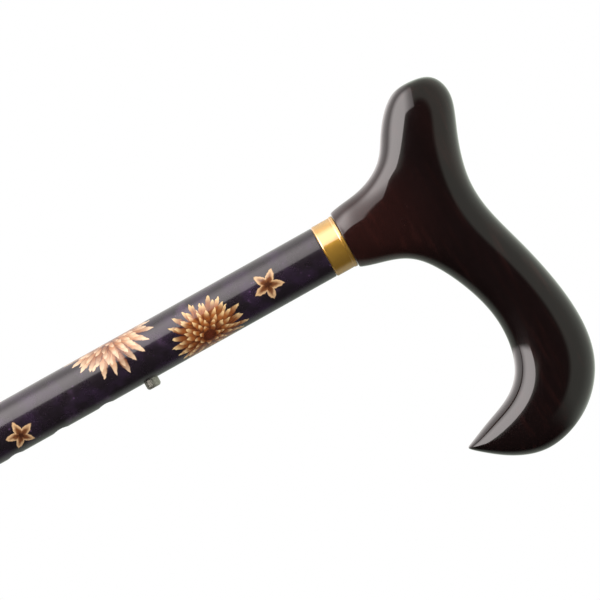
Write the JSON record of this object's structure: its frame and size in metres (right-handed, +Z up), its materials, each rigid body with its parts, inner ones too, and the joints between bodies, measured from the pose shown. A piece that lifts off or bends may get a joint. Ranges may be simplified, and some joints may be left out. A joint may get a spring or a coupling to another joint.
{
  "type": "folding walking cane",
  "caption": "Folding walking cane with a glossy derby handle, brass band, printed floral shaft, sprung fold joints, height button and a ribbed rubber tip.",
  "frame": {"origin": "centre of the rubber tip's tread, where the cane meets the floor", "axes": "+Z up along the shaft, +X towards the handle's hook and the snap button, +Y across the handle"},
  "size_m": [0.1429, 0.032, 0.8399],
  "materials": {
    "printed_aluminium": "gloss",
    "lacquered_wood": "gloss",
    "brass": "polished",
    "steel": "satin",
    "dark_steel": "satin",
    "aluminium": "satin",
    "nylon": "satin",
    "rubber": "matte"
  },
  "bodies": {
    "handle_and_outer_tube": {"handle": "lacquered_wood", "handle_stud": "aluminium", "handle_screw": "steel", "collar_band": "brass", "outer_tube": "printed_aluminium", "outer_tube_bush": "nylon"},
    "height_tube": {"inner_tube": "printed_aluminium", "inner_tube_guide": "nylon", "button_spring": "steel", "joint_collar_1": "brass", "spring_seat_1": "nylon", "seat_rivet_1": "steel", "cable_spring_1": "steel"},
    "button": {"snap_button": "dark_steel"},
    "cable_slider_1": {"cable_stop_1": "steel", "pull_cable_1": "steel"},
    "section_2": {"joint_plug_1": "nylon", "plug_rivet_1": "steel", "cable_ferrule_1": "steel", "tube_2": "printed_aluminium", "joint_collar_2": "brass", "spring_seat_2": "nylon", "seat_rivet_2": "steel", "cable_spring_2": "steel"},
    "cable_slider_2": {"cable_stop_2": "steel", "pull_cable_2": "steel"},
    "section_3": {"joint_plug_2": "nylon", "plug_rivet_2": "steel", "cable_ferrule_2": "steel", "tube_3": "printed_aluminium", "joint_collar_3": "brass", "spring_seat_3": "nylon", "seat_rivet_3": "steel", "cable_spring_3": "steel"},
    "cable_slider_3": {"cable_stop_3": "steel", "pull_cable_3": "steel"},
    "section_4": {"joint_plug_3": "nylon", "plug_rivet_3": "steel", "cable_ferrule_3": "steel", "tube_4": "printed_aluminium", "rubber_tip": "rubber", "tip_washer": "steel"}
  },
  "joints": [
    {"name": "height_adjust", "type": "slide", "parent": "handle_and_outer_tube", "child": "height_tube", "axis": [0, 0, -1], "range_m": [0, 0.1143]},
    {"name": "button_press", "type": "slide", "parent": "height_tube", "child": "button", "axis": [-1, 0, 0], "range_m": [0, 0.0043], "stiffness_N_per_m": 2200, "springref_m": -0.001, "deforming": ["button_spring"]},
    {"name": "cable_pull_1", "type": "slide", "parent": "height_tube", "child": "cable_slider_1", "axis": [0, 0, -1], "range_m": [0, 0.0283], "stiffness_N_per_m": 500, "springref_m": -0.04, "deforming": ["cable_spring_1"]},
    {"name": "fold_1", "type": "hinge", "parent": "cable_slider_1", "child": "section_2", "pos_m": [0, -0.01148, 0.549], "axis": [-1, 0, 0], "range_deg": [0, 180], "deforming": ["pull_cable_1"]},
    {"name": "cable_pull_2", "type": "slide", "parent": "section_2", "child": "cable_slider_2", "axis": [0, 0, -1], "range_m": [0, 0.0283], "stiffness_N_per_m": 500, "springref_m": -0.04, "deforming": ["cable_spring_2"]},
    {"name": "fold_2", "type": "hinge", "parent": "cable_slider_2", "child": "section_3", "pos_m": [-0.01367, 0, 0.374], "axis": [0, 1, 0], "range_deg": [0, 180], "deforming": ["pull_cable_2"]},
    {"name": "cable_pull_3", "type": "slide", "parent": "section_3", "child": "cable_slider_3", "axis": [0, 0, -1], "range_m": [0, 0.0283], "stiffness_N_per_m": 500, "springref_m": -0.04, "deforming": ["cable_spring_3"]},
    {"name": "fold_3", "type": "hinge", "parent": "cable_slider_3", "child": "section_4", "pos_m": [0, -0.01367, 0.199], "axis": [-1, 0, 0], "range_deg": [0, 180], "deforming": ["pull_cable_3"]}
  ],
  "couplings": [
    {"joint": "fold_1", "follows": "cable_pull_1", "rad_per_m": 111},
    {"joint": "fold_2", "follows": "cable_pull_2", "rad_per_m": 111},
    {"joint": "fold_3", "follows": "cable_pull_3", "rad_per_m": 111}
  ]
}
